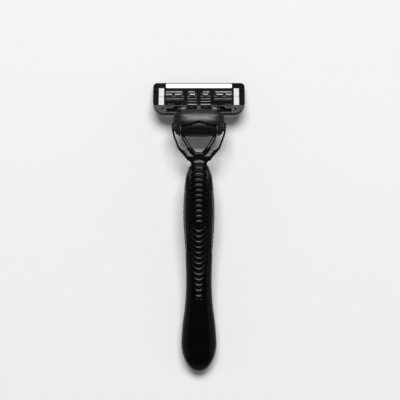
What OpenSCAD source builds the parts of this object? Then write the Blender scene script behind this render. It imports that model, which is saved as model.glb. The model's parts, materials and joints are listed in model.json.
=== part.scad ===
// A cartridge razor, lying face down as it is put on a table.
// +X runs across the cartridge, +Y from the tail to the head, +Z up.
// The origin is on the table, under the middle of the razor.

/* [Handle] */
// Length of the grip body, from the tail to the seam at the neck
grip_l = 96; // [94:0.5:98]
// Width of the grip body at the thumb
thumb_w = 14.8; // [13.8:0.1:15]
// Width of the grip body at its waist
waist_w = 12; // [11:0.1:12]
// Width of the grip body at the tail
tail_w = 16.6; // [15.6:0.1:17]
// Thickness of the rubber grips
rubber_t = 1.1; // [0.9:0.1:1.2]
// Radius of the steel rod inside the grip body
rod_r = 2; // [1.5:0.1:2]

/* [Head] */
// Distance from the neck seam to the cartridge pivot
neck_l = 26; // [25.5:0.1:26.5]
// Gap along the seam between the head and the connector
seam_gap = 0.15; // [0.1:0.05:0.2]
// Distance that the release button travels
button_travel = 2.4; // [2:0.1:2.4]
// Radius of the two pivot pins
pivot_pin_r = 0.7; // [0.6:0.05:0.8]

/* [Cartridge] */
// Width across the two rounded ends
cartridge_w = 42.8; // [42:0.2:44]
// Height of the shaving face, from the guard edge to the cap edge
cartridge_h = 17.6; // [17.4:0.1:17.9]
// Angle between the shaving face and the table
cartridge_tilt = 38; // [36:0.5:39]
// Number of blades
blade_count = 5; // [3:1:5]
// Distance between neighbouring blade edges
blade_pitch = 1.65; // [1.5:0.05:1.65]

/* [Hidden] */
$fn = 48;
eps = 0.01;
far = 60;

// Cartridge, in its own frame: x across, y from the guard to the cap, z from the face to the rear
guard_edge_t = 1.3;
knee_y = 4;
knee_t = 2.8;
cap_t = 3.5;
edge_chamfer = 0.2;
pivot_local = [0.4, 3.5];

// World places that follow from the cartridge lying with its cap edge on the table
pivot_z = (cartridge_h - edge_chamfer) * sin(cartridge_tilt)
    + pivot_local[1] * cos(cartridge_tilt) - pivot_local[0] * sin(cartridge_tilt);
cap_reach = (cartridge_h - pivot_local[0]) * cos(cartridge_tilt);
razor_l = grip_l + neck_l + cap_reach;
tail_y = -razor_l / 2;
seam_y = tail_y + grip_l;
pivot_y = seam_y + neck_l;

// Grip body: distance from the tail, half width, underside height, top height
tail_round_l = 13.75;
grip_table = [
    [tail_round_l, tail_w / 2, 0, 10.6],
    [21.75, 0.93 * tail_w / 2, 0.5, 11.5],
    [31, 1.09 * waist_w / 2, 2.2, 12.2],
    [42, waist_w / 2, 4.4, 13.3],
    [53, 1.05 * waist_w / 2, 6.0, 15.1],
    [60, 0.9 * thumb_w / 2, 6.9, 16.6],
    [69, 0.99 * thumb_w / 2, 7.6, 18.3],
    [77, thumb_w / 2, 8.4, 19.4],
    [85, 0.93 * thumb_w / 2, 9.7, 19.7],
    [91, 0.82 * thumb_w / 2, 11.0, 19.3],
    [grip_l, 0.6 * thumb_w / 2, 11.9, 18.4]
];
grip_power = 2.3;
thumb_range = [31.5, 95];
finger_range = [57.5, 83.5];
thumb_half_angle = 105;
finger_half_angle = 40;
pad_gap = 0.08;
step_half_angle = 1;
step_half_l = 0.05;

// Rod and tongue share one sloping bore
bore_z = 14.7;
bore_slope = 6.5;
bore_l = 67;
tongue_l = 12;

// Tail inset: an oval plate let into the top of the tail
inset_t = 16.4;
inset_size = [11.7, 22.8];
inset_depth = 1;
inset_z = 11;
inset_slope = 7;

// Head: distance from the pivot along Y, half width, underside height, top height
head_z = pivot_z - 13.35;
head_table = [
    [-12.4, 8.6, 11.2, 14.6],
    [-11.2, 10.5, 10.4, 16.0],
    [-9.2, 11.2, 10.3, 17.4],
    [-7.6, 11.4, 10.3, 18.2],
    [-5.6, 12.2, 10.3, 18.4],
    [-3.8, 12.0, 10.4, 18.0],
    [-2.6, 11.6, 12.2, 17.5],
    [-1.6, 11.1, 12.4, 17.0],
    [0.4, 10.3, 12.4, 15.6]
];
head_power = 2.3;
front_arc_r = 33.4;
front_arc_y = 0.2;
seam_arc_r = 21.9;
seam_arc_y = -2.75;
base_top_z = 11.3;
roof_z = 17;
roof_drop = 0.0135;
button_w = 16.6;
button_top_z = 16.7;
sliding_gap = 0.3;

// Inside of the head, as half-width ranges and heights
prong_x = [2.5, 4.1];
tenon_x = [4.6, 6.4];
lug_x = [6.9, 8.3];
arm_x = [6.6, 8.2];
ear_x = [8.4, 9.8];
tenon_y = [-6.2, -2.2];
tenon_top = 14.9;
prong_z = [14.35, 15.2];
slot_top = 15.8;
deck_z = 13.7;
spring_z = 12.6;
button_spring_z = 12.9;

// Yoke
ring_r = 15.6;
ring_centre = [-3, -7.7];
ring_w = 0.9;
ring_from = 0;
web_from = -20;
trunnion_y = -8.9;
trunnion_z = 14;
trunnion_r = 1;

// Blades
first_edge_y = 6;
blade_half_l = 18.2;
blade_angle = 22;
pocket_depth = 2;
pocket_y = [5.7, 13.65];
window_y = [6.45, 13.64];
middle_window_from = 5.4;
window_half_w = 15.5;
rib_x = 6.2;
rib_w = 1.6;

// Clips, strip and guard
clip_x = [16.3, 18.7];
clip_y = [4.1, 14];
clip_t = 0.3;
clip_gap_y = [9, 9.15];
strip_half_l = 15.5;
strip_y = [14.2, 17];
strip_top = 3.2;
strip_proud = 0.15;
guard_half_l = 16.2;
guard_y = [0.9, 5.2];
guard_seat = 0.5;
pocket_floor = 1;
fin_count = 7;

function lerp(a, b, s) = a + (b - a) * s;

// Smooth curve through one column of a table whose first column rises
function slope_at(table, i, column) = let (
    a = table[max(i - 1, 0)],
    b = table[min(i + 1, len(table) - 1)]
) (b[column] - a[column]) / (b[0] - a[0]);

function row_below(table, t) =
    max([for (i = [0:len(table) - 2]) if (i == 0 || table[i][0] <= t) i]);

function smooth_value(table, t, column) = let (
    i = row_below(table, t),
    a = table[i],
    b = table[i + 1],
    span = b[0] - a[0],
    s = (t - a[0]) / span,
    rise = b[column] - a[column],
    in_slope = slope_at(table, i, column) * span,
    out_slope = slope_at(table, i + 1, column) * span
) a[column] + s * (in_slope + s * (3 * rise - 2 * in_slope - out_slope
    + s * (in_slope + out_slope - 2 * rise)));

// A point of a rounded cross-section; the angle runs from the top towards +X
function signed_power(value, power) = sign(value) * pow(abs(value), power);

function section_point(half_w, bottom, top, power, angle, inset = 0) = [
    (half_w - inset) * signed_power(sin(angle), 2 / power),
    (bottom + top) / 2 + ((top - bottom) / 2 - inset) * signed_power(cos(angle), 2 / power)
];

// Grip cross-section at a distance from the tail: [half width, underside, top]
function tail_shrink(t) = t < tail_round_l ? sqrt(1 - pow((tail_round_l - t) / tail_round_l, 2)) : 1;

function grip_section(t) = let (
    held_t = max(t, tail_round_l),
    shrink = tail_shrink(t),
    bottom = smooth_value(grip_table, held_t, 2),
    top = smooth_value(grip_table, held_t, 3),
    middle = (bottom + top) / 2,
    half_h = shrink * (top - bottom) / 2
) [shrink * smooth_value(grip_table, held_t, 1), middle - half_h, middle + half_h];

function grip_point(t, angle, inset = 0) = let (
    section = grip_section(t),
    p = section_point(section[0], section[1], section[2], grip_power, angle, inset)
) [p[0], tail_y + t, p[1]];

function steps(from, to, count) = [for (i = [0:count]) lerp(from, to, i / count)];

// Triangles between neighbouring rings of n points
function ring_faces(n, last) = [for (k = [0:last - 1], i = [0:n - 1]) let (
    a = k * n + i,
    b = k * n + (i + 1) % n
) each [[a, a + n, b + n], [a, b + n, b]]];

// Solid through rings of points that run along +Y, closed by a fan about each end's middle
module loft(rings) {
    n = len(rings[0]);
    last = len(rings) - 1;
    middle_of = function (ring) [for (axis = [0:2]) sum([for (p = ring) p[axis]]) / n];
    points = concat([for (ring = rings) each ring], [middle_of(rings[0]), middle_of(rings[last])]);
    first_cap = [for (i = [0:n - 1]) [(last + 1) * n, i, (i + 1) % n]];
    last_cap = [for (i = [0:n - 1]) [(last + 1) * n + 1, last * n + (i + 1) % n, last * n + i]];
    polyhedron(points, concat(ring_faces(n, last), first_cap, last_cap));
}

function sum(values) = values * [for (v = values) 1];

// Rubber pad between the grip body's surface and the same surface set in by the pad's thickness
module pad(range, from_angle, to_angle, angle_count, length_count) {
    angles = steps(from_angle, to_angle, angle_count);
    stations = steps(range[0] + 2 * step_half_l, range[1] - 2 * step_half_l, length_count);
    n = angle_count + 1;
    rings = [for (t = stations) concat(
        [for (angle = angles) grip_point(t, angle)],
        [for (i = [angle_count:-1:0]) grip_point(t, angles[i], rubber_t - pad_gap)]
    )];
    size = 2 * n;
    start_faces = [for (i = [0:angle_count - 1]) let (a = i, b = i + 1, c = size - 2 - i, d = size - 1 - i)
        each [[a, b, c], [a, c, d]]];
    end_faces = [for (face = start_faces) [for (j = [2, 1, 0]) face[j] + length_count * size]];
    polyhedron([for (ring = rings) each ring],
        concat(ring_faces(size, length_count), start_faces, end_faces));
}

// Everything a child draws, once on each side of the razor
module both_sides() {
    children();
    mirror([1, 0, 0]) children();
}

// Block from lower to upper corner
module block(x, y, z) {
    translate([x[0], y[0], z[0]]) cube([x[1] - x[0], y[1] - y[0], z[1] - z[0]]);
}

// Block in the head, placed from the pivot along Y and at head height
module head_block(x, y, z) {
    translate([0, pivot_y, head_z]) block(x, y, z);
}

// Bar along X, centred on x = 0
module cross_bar(r, half_l) {
    rotate([0, 90, 0]) cylinder(r = r, h = 2 * half_l, center = true);
}

// Bar along X on the +X side, between two distances from the middle
module side_bar(r, x) {
    translate([x[0], 0, 0]) rotate([0, 90, 0]) cylinder(r = r, h = x[1] - x[0]);
}

// Flat shape in Y and Z, given thickness along X and centred
module side_profile(points, width) {
    translate([-width / 2, 0, 0]) rotate([90, 0, 90]) linear_extrude(width) polygon(points);
}

// ---- Handle ----

function pad_inset(t, angle) = let (
    turn = abs(angle) > 180 ? 360 - abs(angle) : abs(angle),
    under_thumb = t > thumb_range[0] && t < thumb_range[1] && turn < thumb_half_angle,
    over_finger = t > finger_range[0] && t < finger_range[1] && turn > 180 - finger_half_angle
) under_thumb || over_finger ? rubber_t : 0;

module handle_body(inset_pads) {
    half_turn = [
        0, 18, 36, 54, 72, 89,
        thumb_half_angle - step_half_angle, thumb_half_angle + step_half_angle, 122,
        180 - finger_half_angle - step_half_angle, 180 - finger_half_angle + step_half_angle, 160
    ];
    angles = concat(half_turn, [180], [for (i = [len(half_turn) - 1:-1:1]) 360 - half_turn[i]]);
    tail_stations = [for (turn = [8:9:80]) tail_round_l * (1 - cos(turn))];
    edges = [for (edge = concat(thumb_range, finger_range), side = [-1, 1]) edge + side * step_half_l];
    body_stations = concat(
        steps(tail_round_l, thumb_range[0] - 2, 5), [edges[0], edges[1]],
        steps(thumb_range[0] + 2.5, finger_range[0] - 2, 7), [edges[4], edges[5]],
        steps(finger_range[0] + 2.5, finger_range[1] - 2, 7), [edges[6], edges[7]],
        steps(finger_range[1] + 2, thumb_range[1] - 1.5, 4), [edges[2], edges[3], grip_l]
    );
    loft([for (t = concat(tail_stations, body_stations)) [for (angle = angles)
        grip_point(t, angle, inset_pads ? pad_inset(t, angle) : 0)]]);
}

module along_bore() {
    translate([0, seam_y, bore_z]) rotate([90 + bore_slope, 0, 0]) children();
}

module inset_prism(clearance, height) {
    translate([0, tail_y + inset_t, inset_z - inset_depth]) rotate([inset_slope, 0, 0])
        scale([1, inset_size[1] / inset_size[0], 1])
            cylinder(d = inset_size[0] + 2 * clearance, h = height);
}

module handle_core() {
    color([0.06, 0.06, 0.065]) difference() {
        handle_body(true);
        along_bore() translate([0, 0, -1]) cylinder(r = rod_r + 0.02, h = bore_l + 1);
        inset_prism(0.05, 6);
    }
}

module weight_rod() {
    color("silver") along_bore() translate([0, 0, tongue_l + 0.5]) {
        cylinder(r = rod_r, h = bore_l - tongue_l - 1);
    }
}

module thumb_grip() {
    color([0.08, 0.08, 0.085])
        pad(thumb_range, -thumb_half_angle + 2, thumb_half_angle - 2, 12, 26);
}

module finger_grip() {
    color([0.08, 0.08, 0.085])
        pad(finger_range, 180 - finger_half_angle + 2, 180 + finger_half_angle - 2, 6, 12);
}

module tail_inset() {
    color([0.1, 0.1, 0.11]) intersection() {
        handle_body(false);
        inset_prism(0, 6);
    }
}

// ---- Neck and yoke ----

function smooth_line(points, pieces) = let (
    table = [for (i = [0:len(points) - 1]) [i, points[i][0], points[i][1]]]
) [for (t = steps(0, len(points) - 1, pieces * (len(points) - 1)))
    [smooth_value(table, t, 1), smooth_value(table, t, 2)]];

function mirrored(points) = concat(points, [for (i = [len(points) - 1:-1:0]) [-points[i][0], points[i][1]]]);

// Outline points of the outer ring on the +X side, from the upper end down to the flank
function ring_arc(r, from_angle, to_angle, count) = [for (turn = steps(from_angle, to_angle, count))
    [ring_centre[0] + r * cos(turn), ring_centre[1] + r * sin(turn)]];

flank = [[6.3, -21.1], [4.9, -23.1], [4.2, -24.6], [4.2, -26]];
window = [[0, -19.6], [2.2, -18.8], [3.9, -17.4], [5.2, -15.5], [6.3, -13.4], [6.6, -10.8]];
arm_outside = [[5.9, -18.4], [6.5, -17.2], [7.4, -15.2], [8.0, -13.6], [8.1, -10.8]];

module yoke_plan() {
    difference() {
        polygon(mirrored(concat(ring_arc(ring_r, web_from, -50, 7), smooth_line(flank, 4))));
        polygon(mirrored(smooth_line(window, 4)));
        both_sides() polygon(concat(
            smooth_line(arm_outside, 4),
            [[20, -10.8]],
            ring_arc(ring_r - ring_w, web_from, -52, 7)
        ));
    }
}

module ring_plan() {
    both_sides() polygon(concat(
        ring_arc(ring_r, ring_from, -50, 14),
        ring_arc(ring_r - ring_w, -50, ring_from, 14)
    ));
}

module arm_plan() {
    both_sides() polygon([[6.3, -13.6], [8.0, -13.6], [8.0, -10.9], [6.5, -10.9]]);
}

neck_side = [
    [-26, 12.4], [-20, 12.7], [-15.5, 12.6], [-13.4, 11.9], [-13.4, 14.2],
    [-16, 15.0], [-20, 15.4], [-22.5, 15.7], [-24.2, 16.3], [-25.3, 17.1], [-26, 17.9]
];
ring_side = [
    [-21, 12.9], [-3, 12.9], [-3, 15.2], [-13, 15.0], [-21, 15.5]
];
arm_side = [[-13.6, 11.9], [-10.9, 11.35], [-10.9, 13.55], [-12.6, 13.8], [-13.6, 14.2]];

module neck_yoke() {
    color([0.03, 0.03, 0.035]) {
        translate([0, pivot_y, head_z]) {
            intersection() {
                linear_extrude(30) yoke_plan();
                side_profile(neck_side, far);
            }
            intersection() {
                linear_extrude(30) arm_plan();
                side_profile(arm_side, far);
            }
            intersection() {
                linear_extrude(30) ring_plan();
                side_profile(ring_side, far);
            }
            both_sides() translate([0, trunnion_y, trunnion_z])
                side_bar(trunnion_r, [10.2, 12.1]);
        }
        along_bore() cylinder(r = rod_r, h = tongue_l);
    }
}

// ---- Head ----

module head_body() {
    angles = [for (i = [0:27]) i * 360 / 28];
    stations = concat(steps(head_table[0][0], -3.8, 9), steps(-3.2, 0.4, 5));
    translate([0, pivot_y, head_z]) loft([for (y = stations) [for (angle = angles) let (
        p = section_point(smooth_value(head_table, y, 1), smooth_value(head_table, y, 2),
            smooth_value(head_table, y, 3), head_power, angle)
    ) [p[0], y, p[1]]]]);
}

// Everything behind the seam, moved back by a gap
module behind_seam(gap) {
    translate([0, pivot_y + seam_arc_y - seam_arc_r, 0]) cylinder(r = seam_arc_r - gap, h = 40);
}

// Roof line over the sliding parts, the same all along Y
function roof_line(top, half_w) =
    [for (x = steps(-half_w, half_w, 12)) [x, top - roof_drop * x * x]];

// Tunnel of constant section along Y, between two distances from the pivot
module tunnel(top, half_w, bottom, y) {
    translate([0, pivot_y + y[1], head_z]) rotate([90, 0, 0]) linear_extrude(y[1] - y[0])
        polygon(concat([[half_w, bottom], [-half_w, bottom]], roof_line(top, half_w)));
}

// The button's outline in plan: straight sides and a chevron front
function button_outline(grow) = let (half_w = button_w / 2 + grow) [
    [-half_w, -12.6], [half_w, -12.6], [half_w, -7.5 + grow], [4.2, -6.7 + grow],
    [0, -5.3 + grow], [-4.2, -6.7 + grow], [-half_w, -7.5 + grow]
];

module head_housing() {
    color([0.2, 0.21, 0.22]) difference() {
        intersection() {
            head_body();
            behind_seam(0);
        }
        translate([0, pivot_y - 20, 0]) block([-far, far], [-far, far], [0, head_z + base_top_z + 0.05]);
        translate([0, pivot_y, head_z + base_top_z]) linear_extrude(20) polygon(button_outline(sliding_gap));
        tunnel(roof_z, button_w / 2 + 1.1, base_top_z - 1, [-13, 1]);
        translate([0, pivot_y + trunnion_y, head_z + trunnion_z]) cross_bar(trunnion_r, 20);
        both_sides() head_block([ear_x[0] - 0.2, 12.6], [-6, 1], [deck_z - 5, deck_z - 1.4]);
    }
}

module head_base() {
    color([0.05, 0.05, 0.055]) {
        difference() {
            intersection() {
                head_body();
                behind_seam(0);
            }
            translate([0, pivot_y, head_z]) block([-far, far], [-far, far], [base_top_z, far]);
        }
        standing_z = [base_top_z - eps, deck_z];
        both_sides() {
            // Rail beside the plunger, stop for a button spring, rail beside the button
            head_block([4.5, 6.2], [-10.6, -4.4], standing_z);
            head_block([6.2, 8.6], [-5.4, -4.6], standing_z);
            head_block([8.7, 9.3], [-10.4, -5], standing_z);
        }
        // Seat for the plunger spring
        head_block([-1.6, 1.6], [-10.6, -9.8], standing_z);
    }
}

module button_step() {
    side_profile([
        [-12.2, 13.95], [-5, 13.95], [-5, 18], [-8.2, 18], [-8.4, 17.2],
        [-9.6, 15.9], [-10.8, 15.1], [-12.2, 14.7]
    ], far);
}

module release_button() {
    cavity_y = [-9.6, -4];
    leg_front = tenon_y[0] - button_travel - sliding_gap;
    color([0.16, 0.17, 0.17]) {
        difference() {
            intersection() {
                translate([0, pivot_y, head_z]) linear_extrude(30) polygon(button_outline(0));
                translate([0, pivot_y, head_z]) button_step();
                tunnel(button_top_z, button_w / 2, 13, [-13, 0]);
            }
            tunnel(button_top_z - 1, button_w / 2 - 0.8, 13, cavity_y);
        }
        both_sides() {
            head_block(tenon_x, [-11.6, leg_front], [deck_z + 0.2, 14.4]);
            head_block(lug_x, [-10.8, -9.8], [11.7, 14.2]);
        }
    }
}

// Round wire coiled along +Y from a start point
module coil(r, wire_r, length, turns) {
    wire_sides = 6;
    rise = length - 2 * wire_r;
    pitch_angle = atan2(rise, 360 * turns * r * PI / 180);
    rings = [for (s = steps(0, 1, 14 * turns)) let (
        turn = 360 * turns * s,
        outward = [cos(turn), 0, sin(turn)],
        upward = [sin(turn) * sin(pitch_angle), cos(pitch_angle), -cos(turn) * sin(pitch_angle)],
        middle = r * outward + [0, wire_r + rise * s, 0]
    ) [for (i = [0:wire_sides - 1]) let (around = 360 * i / wire_sides)
        middle + wire_r * (cos(around) * outward - sin(around) * upward)]];
    loft(rings);
}

module button_springs() {
    color("silver") both_sides()
        translate([7.6, pivot_y - 9.75, head_z + button_spring_z]) coil(0.6, 0.14, 4.3, 5);
}

module plunger_spring() {
    color("silver") translate([0, pivot_y - 9.75, head_z + spring_z]) coil(0.75, 0.17, 3.7, 5);
}

module plunger() {
    color([0.12, 0.12, 0.13]) {
        head_block([-prong_x[1], prong_x[1]], [-6, -3.1], [11.6, deck_z]);
        both_sides() {
            head_block(prong_x, [-6, -1.2], [deck_z - eps, prong_z[1]]);
            head_block(prong_x, [-1.2 - eps, 0.25], prong_z);
        }
    }
}

// ---- Connector ----

module connector() {
    color([0.2, 0.21, 0.22]) difference() {
        union() {
            difference() {
                intersection() {
                    head_body();
                    translate([0, pivot_y + front_arc_y - front_arc_r, 0])
                        cylinder(r = front_arc_r, h = 40);
                }
                behind_seam(-seam_gap);
                both_sides() head_block(prong_x + [-0.3, 0.3], [-6, 1], [0, slot_top]);
                both_sides() translate([0, pivot_y, pivot_z]) {
                    side_bar(1.8, [arm_x[1], 10]);
                    block([arm_x[1], 10], [-4, 2], [-4, 0]);
                }
            }
            both_sides() {
                head_block(tenon_x, tenon_y, [deck_z + 0.2, tenon_top]);
                translate([0, pivot_y, pivot_z]) side_bar(1.7, arm_x);
                translate([0, pivot_y, pivot_z]) block(arm_x, [-2.2, 0], [-0.9, 1.7]);
            }
        }
        translate([0, pivot_y, pivot_z]) cross_bar(pivot_pin_r + 0.05, 8.3);
    }
}

// ---- Cartridge ----

// Draws in the cartridge's own frame
module in_cartridge() {
    translate([0, pivot_y, pivot_z]) rotate([-cartridge_tilt, 0, 0])
        translate([0, -pivot_local[0], -pivot_local[1]]) children();
}

function rear_height(y) = y < knee_y
    ? lerp(guard_edge_t, knee_t, y / knee_y)
    : lerp(knee_t, cap_t, (y - knee_y) / (cartridge_h - knee_y));

// Everything above the rear surface lowered by a depth
module above_rear(depth) {
    side_profile([
        [-1, rear_height(0) - depth - 0.375], [knee_y, knee_t - depth],
        [cartridge_h + 1, cap_t - depth + 0.05], [cartridge_h + 1, 9], [-1, 9]
    ], far);
}

module rounded_rect(x, y, r) {
    for (corner_x = [x[0] + r, x[1] - r], corner_y = [y[0] + r, y[1] - r])
        translate([corner_x, corner_y]) circle(r = r);
    translate([x[0] + r, y[0]]) square([x[1] - x[0] - 2 * r, y[1] - y[0]]);
    translate([x[0], y[0] + r]) square([x[1] - x[0], y[1] - y[0] - 2 * r]);
}

module cartridge_outline() {
    half_w = cartridge_w / 2;
    cap_r = 2.8;
    guard_r = 6.4;
    square_l = cartridge_h - guard_r - cap_r;
    translate([-half_w, guard_r]) square([cartridge_w, square_l]);
    translate([-half_w + guard_r, 0]) square([cartridge_w - 2 * guard_r, guard_r]);
    translate([-half_w + cap_r, cartridge_h - cap_r]) square([cartridge_w - 2 * cap_r, cap_r]);
    both_sides() {
        translate([half_w - guard_r, guard_r]) circle(r = guard_r);
        translate([half_w - cap_r, cartridge_h - cap_r]) circle(r = cap_r);
    }
}

// Straight bar in plan between two points
module plan_bar(a, b, width) {
    translate(a) rotate(atan2(b[1] - a[1], b[0] - a[0]))
        translate([0, -width / 2]) square([norm(b - a), width]);
}

// Ribs left standing in the rear pockets next to the guard
module guard_ribs() {
    both_sides() {
        plan_bar([8.9, 5.9], [12.65, 3.1], 0.8);
        plan_bar([12.3, 2.95], [15.4, 2.95], 0.8);
        plan_bar([7, 3.75], [15.4, 3.75], 0.3);
        plan_bar([rib_x, 6.4], [rib_x + 0.7, 0.4], rib_w);
        plan_bar([15.6, 6], [15.6, 0.4], 0.8);
    }
    plan_bar([0, 6.4], [0, 1.4], rib_w);
}

module rear_pockets() {
    difference() {
        both_sides() {
            translate([0, 0.9]) square([15.9, pocket_y[0] - 0.9 + eps]);
        }
        guard_ribs();
    }
    both_sides() translate([16.9, 2.1]) polygon([[-0.7, 0.9], [0.7, 0.4], [0.1, -0.6]]);
}

// Ear with its pin; the cams beside the middle rib turn the cartridge against the plunger
module pivot_ear() {
    translate([0, pivot_local[0], pivot_local[1]]) {
        side_bar(1.5, ear_x);
        side_bar(pivot_pin_r, [6.5, ear_x[0] + eps]);
    }
    block(ear_x, [pivot_local[0] - 0.4, pivot_local[0] + 1.5], [1.2, pivot_local[1]]);
}

module cam() {
    tip = [0.39, 5.14];
    tip_r = 0.6;
    neck_half_w = 0.35;
    translate([0, tip[0], tip[1]]) side_bar(tip_r, prong_x);
    block(prong_x, [tip[0] - neck_half_w, tip[0] + neck_half_w], [1.2, tip[1]]);
}

module window_holes() {
    difference() {
        union() {
            translate([-window_half_w, window_y[0]])
                square([2 * window_half_w, window_y[1] - window_y[0]]);
            translate([-rib_x, middle_window_from])
                square([2 * rib_x, window_y[0]]);
        }
        for (x = [-rib_x, 0, rib_x]) {
            translate([x - rib_w / 2, 0]) square([rib_w, 20]);
        }
        for (x = [-rib_x, 0, rib_x]) {
            translate([x, window_y[1]]) polygon([[-1.6, 0.1], [1.6, 0.1], [0, -2.4]]);
        }
    }
}

module cartridge_frame() {
    color([0.1, 0.1, 0.11]) in_cartridge() {
        difference() {
            intersection() {
                linear_extrude(5) cartridge_outline();
                side_profile([
                    [0, edge_chamfer], [edge_chamfer, 0],
                    [cartridge_h - edge_chamfer, 0], [cartridge_h, edge_chamfer],
                    [cartridge_h, cap_t - 0.5], [cartridge_h - 0.5, cap_t - 0.03],
                    [knee_y, knee_t], [0.3, rear_height(0.3)], [0, guard_edge_t - 0.2]
                ], far);
            }
            block([-18.4, 18.4], pocket_y, [-1, pocket_depth]);
            translate([0, 0, 1]) linear_extrude(4) window_holes();
            block([-strip_half_l - 0.05, strip_half_l + 0.05], strip_y + [-0.05, 0.05], [-1, 5]);
            block([-strip_half_l - 0.8, strip_half_l + 0.8], strip_y + [0.4, -0.1], [2.2, 5]);
            block([-guard_half_l, guard_half_l], guard_y, [-1, guard_seat]);
            translate([0, 0, pocket_floor]) linear_extrude(4) rear_pockets();
            both_sides() {
                intersection() {
                    block([19.4, 25], [5.6, 12.4], [1, 5]);
                    above_rear(0.5);
                }
                intersection() {
                    block(clip_x + [-0.05, 0.05], clip_y + [-0.05, 0.05], [2, 5]);
                    above_rear(clip_t + 0.02);
                }
                for (y = [clip_y[0], clip_y[1] - clip_t]) {
                    block(clip_x + [-0.05, 0.05], [y - 0.05, y + clip_t + 0.05], [-1, 5]);
                }
            }
        }
        both_sides() {
            pivot_ear();
            cam();
        }
    }
}

module lubricating_strip() {
    color("white") in_cartridge() translate([0, 0, -strip_proud])
        linear_extrude(strip_top + strip_proud)
            rounded_rect([-strip_half_l, strip_half_l], strip_y, 0.8);
}

module guard_fins() {
    fin_pitch = (guard_y[1] - guard_y[0]) / fin_count;
    color([0.15, 0.15, 0.16]) in_cartridge() {
        block([-guard_half_l + 0.02, guard_half_l - 0.02], guard_y + [0.02, -0.02], [0, guard_seat - 0.02]);
        for (i = [0:fin_count - 1]) {
            y = guard_y[0] + (i + 0.5) * fin_pitch;
            block([-guard_half_l + 0.4, guard_half_l - 0.4], [y - 0.15, y + 0.15], [-0.2, eps]);
        }
    }
}

module clip() {
    rear = [rear_height(clip_y[0]), rear_height(clip_y[1])];
    in_cartridge() translate([clip_x[0], 0, 0]) rotate([90, 0, 90])
        linear_extrude(clip_x[1] - clip_x[0]) difference() {
            polygon([
                [clip_y[0], -clip_t], [clip_y[1], -clip_t], [clip_y[1], rear[1]], [clip_y[0], rear[0]]
            ]);
            polygon([
                [clip_y[0] + clip_t, 0], [clip_y[1] - clip_t, 0],
                [clip_y[1] - clip_t, rear[1] - clip_t], [clip_y[0] + clip_t, rear[0] - clip_t]
            ]);
            translate([clip_gap_y[0], 1]) square([clip_gap_y[1] - clip_gap_y[0], 5]);
        }
}

module clip_right() {
    color("white") clip();
}

module clip_left() {
    color("white") mirror([1, 0, 0]) clip();
}

// Draws a flat shape in the cartridge's y and z along the whole blade
module along_blade(index, inset) {
    half_l = blade_half_l - inset;
    in_cartridge() translate([-half_l, first_edge_y + (index - 1) * blade_pitch, 0.03])
        rotate([90, 0, 90]) linear_extrude(2 * half_l) children();
}

module blade(index) {
    color("silver") along_blade(index, 0)
        rotate(blade_angle) polygon([[0, 0], [1.05, 0], [1.05, 0.1], [0.2, 0.1]]);
}

module blade_support(index) {
    color("gray") along_blade(index, 0.1) {
        rotate(blade_angle) translate([0.35, 0.1]) square([0.7, 0.22]);
        translate([0.66, 0.52]) square([0.25, 1.4]);
    }
}

handle_core();
weight_rod();
thumb_grip();
finger_grip();
tail_inset();
neck_yoke();
head_housing();
head_base();
release_button();
button_springs();
plunger();
plunger_spring();
connector();
cartridge_frame();
lubricating_strip();
guard_fins();
clip_left();
clip_right();
for (i = [1:blade_count]) {
    blade(i);
    blade_support(i);
}
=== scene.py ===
# The looks of the cartridge razor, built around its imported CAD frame.
# Lengths inside the shape functions are in millimetres; make_mesh turns them into metres.
import json
import math

import bmesh
import bpy
from mathutils import Matrix, Vector


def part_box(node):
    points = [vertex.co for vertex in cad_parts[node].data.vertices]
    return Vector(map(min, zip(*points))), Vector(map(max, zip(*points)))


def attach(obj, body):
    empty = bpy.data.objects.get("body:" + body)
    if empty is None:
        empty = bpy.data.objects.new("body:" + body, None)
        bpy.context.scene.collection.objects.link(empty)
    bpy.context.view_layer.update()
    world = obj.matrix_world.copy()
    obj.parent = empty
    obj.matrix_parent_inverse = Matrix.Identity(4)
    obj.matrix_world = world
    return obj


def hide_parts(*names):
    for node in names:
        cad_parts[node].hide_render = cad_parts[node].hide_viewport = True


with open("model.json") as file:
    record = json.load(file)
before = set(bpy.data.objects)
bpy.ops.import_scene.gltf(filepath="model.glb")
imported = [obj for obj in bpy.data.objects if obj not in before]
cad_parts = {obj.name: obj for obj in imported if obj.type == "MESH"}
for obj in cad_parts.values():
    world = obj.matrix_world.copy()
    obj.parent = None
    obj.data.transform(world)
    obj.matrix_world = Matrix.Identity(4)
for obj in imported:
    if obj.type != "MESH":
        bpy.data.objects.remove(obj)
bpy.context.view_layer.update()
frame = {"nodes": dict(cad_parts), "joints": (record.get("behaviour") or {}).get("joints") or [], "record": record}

MM = 0.001
scene = bpy.context.scene
joints = {joint["name"]: joint for joint in frame["joints"]}
_, pivot_y, pivot_z = [c / MM for c in joints["cartridge_pivot"]["pos_m"]]
core_low, core_high = [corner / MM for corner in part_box("handle_core")]
tail_y = core_low.y
seam_y = core_high.y
grip_l = seam_y - tail_y
# Height of the pivot in the head's own measures
PIVOT_HEIGHT = 13.35
head_z = pivot_z - PIVOT_HEIGHT


# ---- Curves and sections, the same as the CAD part's ----

def slope_at(table, i, column):
    a = table[max(i - 1, 0)]
    b = table[min(i + 1, len(table) - 1)]
    return (b[column] - a[column]) / (b[0] - a[0])


def smooth_value(table, t, column):
    i = max(k for k in range(len(table) - 1) if k == 0 or table[k][0] <= t)
    a, b = table[i], table[i + 1]
    span = b[0] - a[0]
    s = (t - a[0]) / span
    rise = b[column] - a[column]
    slope_in = slope_at(table, i, column) * span
    slope_out = slope_at(table, i + 1, column) * span
    curve = slope_in + slope_out - 2 * rise
    return a[column] + s * (slope_in + s * (3 * rise - 2 * slope_in - slope_out + s * curve))


def signed_power(value, power):
    return math.copysign(abs(value) ** power, value)


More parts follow.
